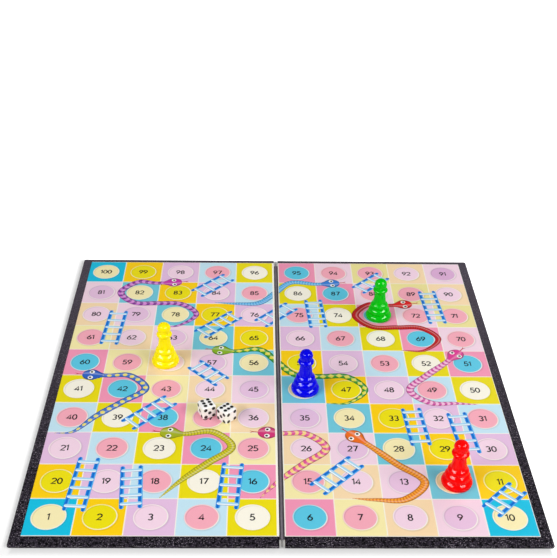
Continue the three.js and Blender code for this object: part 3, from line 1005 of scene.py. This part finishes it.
# Each snake: its pattern and how often that repeats, in millimetres; the inks of its back, marks and head; and
# the knots of its path, from nose to tail
SNAKES = (
    Snake("violet", "bands", 4.2, (214, 132, 214), (132, 48, 150), (196, 50, 170), (
        (2.55, 9.02), (1.90, 8.95), (1.40, 9.00), (1.00, 8.50), (1.40, 8.02), (2.00, 8.00), (2.60, 7.96),
        (3.00, 7.50), (2.60, 7.02), (2.10, 6.96),
    )),
    Snake("red", "bands", 1.5, (208, 26, 30), (172, 12, 22), (230, 22, 24), (
        (8.50, 8.05), (7.90, 7.96), (7.38, 8.00), (7.00, 7.50), (7.38, 7.00), (8.00, 6.98), (8.58, 6.96),
        (8.96, 6.50), (8.55, 6.02), (8.00, 6.02),
    )),
    Snake("sky", "bands", 1.8, (116, 198, 240), (74, 160, 224), (52, 126, 214), (
        (6.70, 9.02), (6.10, 8.95), (5.42, 9.02), (5.00, 8.52), (4.58, 8.04), (4.00, 8.00), (3.45, 8.05),
    )),
    Snake("green", "lozenges", 4.6, (50, 154, 48), (232, 222, 70), (140, 184, 36), (
        (3.45, 6.02), (4.00, 5.95), (4.60, 6.02), (5.00, 5.54), (5.42, 5.04), (6.00, 4.98), (6.60, 4.98),
        (7.00, 4.50), (6.60, 4.03), (6.10, 4.00),
    )),
    Snake("magenta", "bands", 3.2, (250, 190, 224), (206, 72, 160), (226, 60, 150), (
        (9.42, 6.02), (8.98, 5.52), (8.48, 5.04), (8.02, 4.50), (8.42, 4.04), (9.00, 4.02), (9.50, 3.98),
    )),
    Snake("orange", "bands", 1.7, (246, 166, 48), (226, 122, 28), (240, 110, 24), (
        (6.48, 3.04), (6.98, 2.54), (7.45, 2.02), (7.96, 1.50), (7.52, 1.00), (6.90, 0.98), (6.45, 1.02),
    )),
    Snake("blue", "spots", 4.4, (60, 116, 204), (238, 222, 96), (40, 96, 196), (
        (0.50, 5.03), (1.10, 4.98), (1.60, 4.98), (2.00, 4.50), (1.52, 4.02), (1.00, 3.52), (0.60, 3.02),
        (0.20, 2.96),
    )),
    Snake("olive", "bands", 1.6, (216, 208, 40), (180, 172, 20), (168, 180, 28), (
        (2.45, 3.02), (3.00, 2.95), (3.58, 3.02), (4.00, 2.54), (3.52, 2.04), (3.00, 1.52), (2.60, 1.02),
    )),
    Snake("rose", "bands", 3.8, (228, 84, 152), (250, 214, 130), (214, 52, 120), (
        (4.55, 3.02), (5.10, 2.98), (5.60, 2.96), (6.00, 2.50), (5.52, 2.02), (5.00, 1.52), (4.60, 1.02),
    )),
)


def snake_half_width(run):
    """Half width from nose to tail: the nose is half an ellipse, the head eases into the neck and the neck into
    the body by half cosines, and the tail thins as a power of what is left."""
    def eased(start, end):
        return 0.5 - 0.5 * np.cos(np.pi * np.clip((run - start) / (end - start), 0, 1))

    nose = HEAD_HALF * np.sqrt(np.clip(1 - (1 - run / NOSE_LENGTH) ** 2, 0.0, 1.0))
    head = HEAD_HALF + (NECK_HALF - HEAD_HALF) * eased(NOSE_LENGTH, HEAD_LENGTH)
    body = head + (BODY_HALF - NECK_HALF) * eased(HEAD_LENGTH, BODY_LENGTH)
    left = np.clip((run[-1] - run) / (TAIL_SHARE * run[-1]), 0, 1)
    width = np.where(run < NOSE_LENGTH, nose, body) * left**TAIL_POWER
    return np.maximum(width, TAIL_END_HALF)


def snake_marks(path):
    """Two eyes beside the widest part of the head, and a forked tongue ahead of the nose."""
    back = path[HEADING_STEPS] - path[0]
    back /= np.linalg.norm(back)
    side = np.array([-back[1], back[0]])
    root = path[0] + back * TONGUE_ROOT
    fork = root - back * TONGUE_LENGTH
    shares = np.linspace(0, 1, 6)[:, None]
    eyes = []
    pupils = []
    tongue = [ribbon(root + (fork - root) * shares, TONGUE_HALF, TONGUE_FILM)]
    for hand in (-1, 1):
        spot = path[0] + back * NOSE_LENGTH * EYE_PLACE[0] + hand * side * HEAD_HALF * EYE_PLACE[1]
        eyes.append(dot(spot, EYE_RADIUS, EYE_FILM))
        pupils.append(dot(spot - back * PUPIL_SHIFT, PUPIL_RADIUS, PUPIL_FILM))
        tip = (hand * side * PRONG_SPREAD - back) * PRONG_LENGTH
        prong = fork + back * PRONG_LAP + tip * shares
        tongue.append(ribbon(prong, np.linspace(*PRONG_HALF, len(prong)), TONGUE_FILM))
    return eyes, pupils, tongue


marks = []
for snake in SNAKES:
    path = smooth_path(on_print(snake.knots), SNAKE_STEP)
    body = ribbon(path, snake_half_width(path_run(path)), SNAKE_FILM)
    printed(f"{snake.name}_snake", [body], snake_print(snake))
    marks.append(snake_marks(path))
eyes, pupils, tongues = (sum(films, []) for films in zip(*marks))
printed("snake_eyes", eyes, plain_print("eye_print", ink(250, 248, 235)))
printed("snake_pupils", pupils, plain_print("pupil_print", ink(22, 20, 24)))
printed("snake_tongues", tongues, plain_print("tongue_print", ink(186, 20, 44)))


# Pawns and dice

def pawn_outline():
    """Radius and height down the hollow and up the outside of a pawn, in millimetres. Each tier is a half sine
    swelling over the cone from its groove to the next one's, the neck eases in as a square, the collar is a half
    sine bead and the head ends in half an ellipse."""
    tops = np.cumsum([height for _, height in PAWN_TIERS])
    grooves = [diameter / 2 for diameter, _ in PAWN_TIERS] + [PAWN_SHOULDER / 2]
    neck = PAWN_NECK / 2
    collar_foot = tops[-1] + PAWN_NECK_HEIGHT
    bore = neck - PAWN_WALL
    bore_top = collar_foot + PAWN_COLLAR_HEIGHT / 2
    hollow = arc((0, bore_top - bore), bore, 90, 0, 7)
    hollow[0, 0] = 0.0
    levels = [tops[1], tops[0], 0.0]
    walls = [(bore, tops[2])] + [(groove - PAWN_WALL, level) for groove, level in zip(grooves[2::-1], levels)]
    outside = [arc((grooves[0] - PAWN_FOOT_EDGE, PAWN_FOOT_EDGE), PAWN_FOOT_EDGE, -90, 0, 6)]
    share = np.linspace(0, 1, 25)[1:]
    for (_, height), top, lower, upper in zip(PAWN_TIERS, tops, grooves, grooves[1:]):
        base = PAWN_FOOT_EDGE if top == height else 0.0
        cone = lower + (upper - lower) * share
        level = top - (height - base) * (1 - share)
        outside.append(joined(cone + TIER_SWELL * np.sin(np.pi * share), level))
    share = np.linspace(0, 1, 16)[1:]
    flare = (PAWN_SHOULDER / 2 - neck) * (1 - share) ** 2
    outside.append(joined(neck + flare, tops[-1] + PAWN_NECK_HEIGHT * share))
    share = np.linspace(0, 1, 22)[1:]
    bead = (PAWN_COLLAR / 2 - neck) * np.sin(np.pi * share)
    outside.append(joined(neck + bead, collar_foot + PAWN_COLLAR_HEIGHT * share))
    dome_foot = collar_foot + PAWN_COLLAR_HEIGHT + PAWN_HEAD_SIDE
    dome = arc((0, dome_foot), (PAWN_HEAD / 2, PAWN_DOME_HEIGHT), 0, 90, 22)
    dome[-1, 0] = 0.0
    return np.vstack([hollow, walls, *outside, dome])


def pawn(name, colour):
    """The outline turned about the pawn's axis, with a faint mould line down two opposite sides."""
    low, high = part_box(name)
    middle = (low + high) / 2
    out, height = pawn_outline().T * MM
    turn = np.linspace(0, 2 * math.pi, PAWN_SEGMENTS, endpoint=False)[:, None]
    seam = MOULD_LINE * MM * np.exp(-((np.sin(turn - MOULD_LINE_TURN) / MOULD_LINE_WIDTH) ** 2))
    radius = np.where(out > 0, out - seam, 0.0)
    level = low.z + height
    points = joined(middle.x + radius * np.cos(turn), middle.y + radius * np.sin(turn), level)
    index = np.arange(radius.size).reshape(radius.shape)
    quads = woven(index, np.roll(index, -1, axis=0))
    surface = Surface(points.reshape(-1, 3), quads, joined(turn, level / MM).reshape(-1, 2))
    plastic = pawn_plastic(f"{name}_plastic", colour)
    shell = mesh_piece(f"{name}_shell", surface, plastic, smooth_angle=38)
    fitted(shell, name, name.replace("pawn", "plastic"), name)
    SHINY.objects.link(shell)


SHINY = bpy.data.collections.new("shiny_pieces")
pawn("yellow_pawn", ink(255, 236, 0))
pawn("green_pawn", ink(0, 194, 14))
pawn("blue_pawn", ink(0, 0, 226))
pawn("red_pawn", ink(252, 0, 0))

# Each face of a die: its pips, and the directions of its two sides and of its outward normal
FACES = (
    (6, (1, 0, 0), (0, 1, 0), (0, 0, 1)),
    (1, (1, 0, 0), (0, -1, 0), (0, 0, -1)),
    (5, (1, 0, 0), (0, 0, 1), (0, -1, 0)),
    (2, (1, 0, 0), (0, 0, -1), (0, 1, 0)),
    (4, (0, 0, -1), (0, 1, 0), (1, 0, 0)),
    (3, (0, 0, 1), (0, 1, 0), (-1, 0, 0)),
)


def pip_places(count):
    """Centres of the pips on one face, along its two sides."""
    if count == 6:
        return np.array([(side * PIP_ROW, step * PIP_FAR) for side in (-1, 1) for step in (-1, 0, 1)])
    slant = [(-PIP_FAR, -PIP_FAR), (PIP_FAR, PIP_FAR)]
    other = [(-PIP_FAR, PIP_FAR), (PIP_FAR, -PIP_FAR)]
    spots = (slant if count > 1 else []) + (other if count > 3 else [])
    return np.array(spots + ([(0.0, 0.0)] if count % 2 else []))


def die_face(count):
    """One face on a square grid, with its reach from the nearest pip: a point of the cube's skin goes to the
    nearest point of a smaller inner cube and out again by the rounding, and each pip is a dish cut by a ball."""
    half = DIE_EDGE / 2
    side = np.linspace(-1, 1, DIE_CELLS + 1) * half
    skin = joined(side[:, None], side, half)
    inner = np.clip(skin, DIE_ROUND - half, half - DIE_ROUND)
    out = skin - inner
    points = inner + DIE_ROUND * out / np.linalg.norm(out, axis=-1, keepdims=True)
    reach = np.linalg.norm(points[:, :, None, :2] - pip_places(count), axis=-1).min(axis=-1)
    ball = (PIP_RADIUS**2 + PIP_DEPTH**2) / (2 * PIP_DEPTH)
    points[:, :, 2] -= np.sqrt(ball**2 - np.minimum(reach, PIP_RADIUS) ** 2) - (ball - PIP_DEPTH)
    return points, reach.ravel()


def die(name, turned, material):
    """Six faces, turned to their sides and then about the upright axis as the die lies."""
    low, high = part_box(name)
    middle = np.array((low + high) / 2)
    turn = np.array(Matrix.Rotation(math.radians(turned), 3, "Z"))
    index = np.arange((DIE_CELLS + 1) ** 2).reshape(DIE_CELLS + 1, DIE_CELLS + 1)
    faces = []
    for count, *directions in FACES:
        points, reach = die_face(count)
        placed = points @ np.array(directions, dtype=float) @ turn.T
        placed = placed.reshape(-1, 3) * MM + middle
        faces.append(Surface(placed, woven(index[:-1], index[1:]), joined(reach, reach)))
    piece = mesh_piece(f"{name}_cube", gathered(faces), material, smooth_angle=60)
    fitted(piece, name, "white_plastic", name)


DIE_PLASTIC = die_plastic()
die("left_die", 26, DIE_PLASTIC)
die("right_die", -46, DIE_PLASTIC)


# Room, lamps and camera

def floor():
    """A wide white floor just under the board, open beneath it and clear from below. Its own white glow shows to
    the camera, but comes up slowly in front of the board and to the left of it, which paints the shadow there
    darker, and not under the hinge, which leaves painted shade in the gap there."""
    bench = Finish("studio_floor")
    bench.tree.nodes.clear()
    x, y, _ = bench.axes(bench.object_place())
    (left, front, _), (right, back, _) = CAD_BOX
    # Painted shade: no glow under the hinge or just inside the front and left edges
    glow_and_painted_shadow = abs(x).step(3 * MM, 6 * MM)
    for axis, edge in ((x, left), (y, front)):
        glow_and_painted_shadow = glow_and_painted_shadow * axis.step(edge + 1.5 * MM, edge + 3 * MM)
    # Each rise: axis, where the glow starts and ends, and its strength; the low rise at the left edge lightens
    # the painted shadow there
    rises = (
        (x, left + 3 * MM, left + 0.5 * MM, 0.18),
        (x, left, left - 9 * MM, 1.0),
        (x, right - 3 * MM, right + 1 * MM, 1.0),
        (y, front - 0.5 * MM, front - 14 * MM, 1.0),
        (y, back, back + 4 * MM, 1.0),
    )
    for axis, start, end, strength in rises:
        glow_and_painted_shadow = glow_and_painted_shadow.calc("MAXIMUM", axis.step(start, end) * strength)
    paper = bench.node("BsdfDiffuse", {"Color": (0.79, 0.79, 0.79, 1)})
    seen = bench.node("LightPath", {}, "Is Camera Ray")
    glow = bench.node("Emission", {"Strength": seen * glow_and_painted_shadow})
    lit = bench.node("AddShader", {0: paper, 1: glow})
    clear = bench.node("BsdfTransparent", {})
    below = bench.node("NewGeometry", {}, "Backfacing")
    sides = bench.node("MixShader", {0: below, 1: lit, 2: clear})
    bench.place("OutputMaterial", {"Surface": sides})
    turns = np.array([(-1, -1), (1, -1), (1, 1), (-1, 1)])
    rims = np.vstack([turns * FLOOR_REACH, turns * (right - FLOOR_LEDGE)])
    corners = joined(rims[:, 0], rims[:, 1], -FLOOR_DROP)
    mesh = bpy.data.meshes.new("studio_floor")
    mesh.from_pydata(corners.tolist(), [], [(i, (i + 1) % 4, 4 + (i + 1) % 4, 4 + i) for i in range(4)])
    mesh.materials.append(bench.material)
    stand("studio_floor", mesh)


def softbox(name, place, width, height, power):
    """An oblong lamp that faces the middle of the board, lying along its width."""
    lamp = bpy.data.lights.new(name, "AREA")
    lamp.shape = "RECTANGLE"
    lamp.size = width
    lamp.size_y = height
    lamp.energy = power
    holder = stand(name, lamp)
    holder.location = place
    holder.rotation_mode = "QUATERNION"
    holder.rotation_quaternion = (-Vector(place)).to_track_quat("-Z", "Y")
    return holder


def studio_world():
    """Even white light from all round, seen as plain white behind the floor."""
    world = bpy.data.worlds.new("studio")
    world.use_nodes = True
    bench = Bench(world.node_tree)
    seen = bench.node("LightPath", {}, "Is Camera Ray")
    bench.feed(bench.tree.nodes["Background"], {"Color": (1, 1, 1, 1), "Strength": seen * 0.80 + 0.20})
    bpy.context.scene.world = world


def photograph_camera():
    """The camera that took the photograph, turned by its yaw, pitch and roll."""
    data = bpy.data.cameras.new("photograph")
    data.sensor_width = CAMERA_SENSOR
    data.lens = CAMERA_LENS
    data.clip_start = 0.01
    camera = stand("photograph", data)
    camera.matrix_world = (
        Matrix.Translation(CAMERA_PLACE)
        @ Matrix.Rotation(-CAMERA_YAW, 4, "Z")
        @ Matrix.Rotation(math.pi / 2 - CAMERA_PITCH, 4, "X")
        @ Matrix.Rotation(-CAMERA_ROLL, 4, "Z")
    )
    bpy.context.scene.camera = camera


floor()
softbox("left_softbox", (-0.88, -0.58, 0.72), 0.95, 0.17, 10.4)
softbox("right_softbox", (0.88, -0.58, 0.72), 0.95, 0.17, 9.8)
softbox("back_softbox", (1.0, 1.0, 0.38), 1.2, 0.5, 9.0).visible_glossy = False
for name, across in (("left_glint", -0.72), ("right_glint", 0.72)):
    glint = softbox(name, (across, -0.5, 0.8), 0.9, 0.14, 12.0)
    glint.visible_diffuse = False
    glint.light_linking.receiver_collection = SHINY
softbox("under_softbox", (0.0, -0.5, -1.0), 1.2, 1.2, 14.0)
studio_world()
photograph_camera()
bpy.context.scene.view_settings.view_transform = "Standard"
